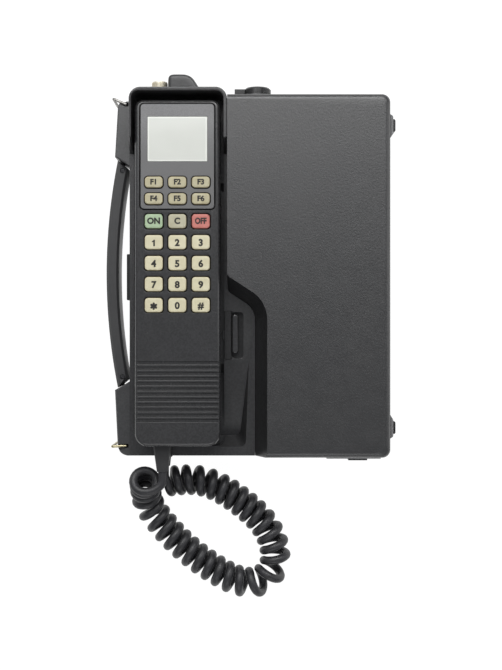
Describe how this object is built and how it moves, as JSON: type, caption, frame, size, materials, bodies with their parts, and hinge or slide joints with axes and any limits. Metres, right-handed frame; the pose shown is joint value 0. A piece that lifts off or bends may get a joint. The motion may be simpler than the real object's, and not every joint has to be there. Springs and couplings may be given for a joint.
{
  "type": "hard-cased transportable cellular telephone",
  "caption": "Flat case lying on its back, with a corded keypad handset in a hooded cradle, a bowed side handle, strap rings and an aerial connector.",
  "frame": {"origin": "centre of the case's flat back face, which the unit lies on", "axes": "+X from the carrying handle towards the side with the feet, +Y towards the aerial connector, +Z out of the front face with the keys"},
  "size_m": [0.1794, 0.3307, 0.054],
  "materials": {
    "case_plastic": "fine-textured moulding",
    "bracket_plastic": "fine-textured moulding",
    "handle_rubber": "satin",
    "plated_steel": "bright",
    "spring_steel": "satin",
    "pad_rubber": "matt",
    "ring_brass": "dull",
    "white_insulator": "matt",
    "socket_plastic": "matt",
    "label_grey": "matt",
    "cast_chassis": "as cast",
    "board_green": "satin",
    "cell_metal": "sleeved cells",
    "latch_plastic": "satin",
    "cord_rubber": "satin",
    "handset_plastic": "fine-textured moulding",
    "bezel_plastic": "satin",
    "window_clear": "clear and glossy",
    "display_grey": "matt",
    "mat_rubber": "matt",
    "key_cream": "satin",
    "key_khaki": "satin",
    "key_green": "satin",
    "key_red": "satin"
  },
  "bodies": {
    "case": {"rear_housing": "case_plastic", "front_housing": "case_plastic", "cradle_tray": "case_plastic", "cradle_hood": "case_plastic", "side_bracket_upper": "bracket_plastic", "side_bracket_lower": "bracket_plastic", "handle_strips": "spring_steel", "handle_rest_pad": "pad_rubber", "antenna_jack": "plated_steel", "antenna_insulator": "white_insulator", "antenna_contact": "ring_brass", "antenna_guard": "case_plastic", "power_socket": "socket_plastic", "foot_mounts": "case_plastic", "rubber_feet": "pad_rubber", "accessory_plate": "label_grey", "accessory_socket": "socket_plastic", "transceiver_chassis": "cast_chassis", "logic_board": "board_green", "battery_pack": "cell_metal", "latch_plate": "latch_plastic", "cord_gland": "cord_rubber", "curly_cord": "cord_rubber"},
    "handle": {"handle_grip": "handle_rubber", "handle_pins": "plated_steel"},
    "handset": {"handset_front_shell": "handset_plastic", "handset_rear_shell": "handset_plastic", "display_bezel": "bezel_plastic", "lcd_window": "window_clear", "lcd_module": "display_grey", "keypad_mat": "mat_rubber", "handset_board": "board_green", "earpiece": "socket_plastic", "microphone": "socket_plastic", "cord_boot": "cord_rubber"},
    "ring_upper": {"strap_ring_upper": "ring_brass"},
    "ring_lower": {"strap_ring_lower": "ring_brass"},
    "socket_cap": {"power_cap": "pad_rubber"},
    "latch": {"latch_slider": "latch_plastic"},
    "button_function_1": {"key_function_1": "key_khaki"},
    "button_function_2": {"key_function_2": "key_khaki"},
    "button_function_3": {"key_function_3": "key_khaki"},
    "button_function_4": {"key_function_4": "key_khaki"},
    "button_function_5": {"key_function_5": "key_khaki"},
    "button_function_6": {"key_function_6": "key_khaki"},
    "button_send": {"key_send": "key_green"},
    "button_clear": {"key_clear": "key_cream"},
    "button_end": {"key_end": "key_red"},
    "button_1": {"key_1": "key_cream"},
    "button_2": {"key_2": "key_cream"},
    "button_3": {"key_3": "key_cream"},
    "button_4": {"key_4": "key_cream"},
    "button_5": {"key_5": "key_cream"},
    "button_6": {"key_6": "key_cream"},
    "button_7": {"key_7": "key_cream"},
    "button_8": {"key_8": "key_cream"},
    "button_9": {"key_9": "key_cream"},
    "button_star": {"key_star": "key_cream"},
    "button_0": {"key_0": "key_cream"},
    "button_hash": {"key_hash": "key_cream"}
  },
  "joints": [
    {"name": "handset_lift", "type": "slide", "parent": "case", "child": "handset", "axis": [0, 0, 1], "range_m": [0, 0.045]},
    {"name": "handle_pull", "type": "slide", "parent": "case", "child": "handle", "axis": [-1, 0, 0], "range_m": [0, 0.012], "stiffness_N_per_m": 900, "deforming": ["handle_strips"]},
    {"name": "latch_slide", "type": "slide", "parent": "case", "child": "latch", "axis": [1, 0, 0], "range_m": [0, 0.0028], "stiffness_N_per_m": 250},
    {"name": "ring_upper_swing", "type": "hinge", "parent": "case", "child": "ring_upper", "pos_m": [-0.0822, 0.1076, 0.0165], "axis": [0, 0, 1], "range_deg": [-15, 15]},
    {"name": "ring_lower_swing", "type": "hinge", "parent": "case", "child": "ring_lower", "pos_m": [-0.0822, -0.1049, 0.0165], "axis": [0, 0, 1], "range_deg": [-2, 18]},
    {"name": "socket_cap_hinge", "type": "hinge", "parent": "case", "child": "socket_cap", "pos_m": [-0.0142, 0.1132, 0.022], "axis": [0, 0, 1], "range_deg": [0, 95]},
    {"name": "press_function_1", "type": "slide", "parent": "handset", "child": "button_function_1", "axis": [0, 0, -1], "range_m": [0, 0.0008], "stiffness_N_per_m": 400},
    {"name": "press_function_2", "type": "slide", "parent": "handset", "child": "button_function_2", "axis": [0, 0, -1], "range_m": [0, 0.0008], "stiffness_N_per_m": 400},
    {"name": "press_function_3", "type": "slide", "parent": "handset", "child": "button_function_3", "axis": [0, 0, -1], "range_m": [0, 0.0008], "stiffness_N_per_m": 400},
    {"name": "press_function_4", "type": "slide", "parent": "handset", "child": "button_function_4", "axis": [0, 0, -1], "range_m": [0, 0.0008], "stiffness_N_per_m": 400},
    {"name": "press_function_5", "type": "slide", "parent": "handset", "child": "button_function_5", "axis": [0, 0, -1], "range_m": [0, 0.0008], "stiffness_N_per_m": 400},
    {"name": "press_function_6", "type": "slide", "parent": "handset", "child": "button_function_6", "axis": [0, 0, -1], "range_m": [0, 0.0008], "stiffness_N_per_m": 400},
    {"name": "press_send", "type": "slide", "parent": "handset", "child": "button_send", "axis": [0, 0, -1], "range_m": [0, 0.0008], "stiffness_N_per_m": 400},
    {"name": "press_clear", "type": "slide", "parent": "handset", "child": "button_clear", "axis": [0, 0, -1], "range_m": [0, 0.0008], "stiffness_N_per_m": 400},
    {"name": "press_end", "type": "slide", "parent": "handset", "child": "button_end", "axis": [0, 0, -1], "range_m": [0, 0.0008], "stiffness_N_per_m": 400},
    {"name": "press_1", "type": "slide", "parent": "handset", "child": "button_1", "axis": [0, 0, -1], "range_m": [0, 0.0008], "stiffness_N_per_m": 400},
    {"name": "press_2", "type": "slide", "parent": "handset", "child": "button_2", "axis": [0, 0, -1], "range_m": [0, 0.0008], "stiffness_N_per_m": 400},
    {"name": "press_3", "type": "slide", "parent": "handset", "child": "button_3", "axis": [0, 0, -1], "range_m": [0, 0.0008], "stiffness_N_per_m": 400},
    {"name": "press_4", "type": "slide", "parent": "handset", "child": "button_4", "axis": [0, 0, -1], "range_m": [0, 0.0008], "stiffness_N_per_m": 400},
    {"name": "press_5", "type": "slide", "parent": "handset", "child": "button_5", "axis": [0, 0, -1], "range_m": [0, 0.0008], "stiffness_N_per_m": 400},
    {"name": "press_6", "type": "slide", "parent": "handset", "child": "button_6", "axis": [0, 0, -1], "range_m": [0, 0.0008], "stiffness_N_per_m": 400},
    {"name": "press_7", "type": "slide", "parent": "handset", "child": "button_7", "axis": [0, 0, -1], "range_m": [0, 0.0008], "stiffness_N_per_m": 400},
    {"name": "press_8", "type": "slide", "parent": "handset", "child": "button_8", "axis": [0, 0, -1], "range_m": [0, 0.0008], "stiffness_N_per_m": 400},
    {"name": "press_9", "type": "slide", "parent": "handset", "child": "button_9", "axis": [0, 0, -1], "range_m": [0, 0.0008], "stiffness_N_per_m": 400},
    {"name": "press_star", "type": "slide", "parent": "handset", "child": "button_star", "axis": [0, 0, -1], "range_m": [0, 0.0008], "stiffness_N_per_m": 400},
    {"name": "press_0", "type": "slide", "parent": "handset", "child": "button_0", "axis": [0, 0, -1], "range_m": [0, 0.0008], "stiffness_N_per_m": 400},
    {"name": "press_hash", "type": "slide", "parent": "handset", "child": "button_hash", "axis": [0, 0, -1], "range_m": [0, 0.0008], "stiffness_N_per_m": 400}
  ]
}
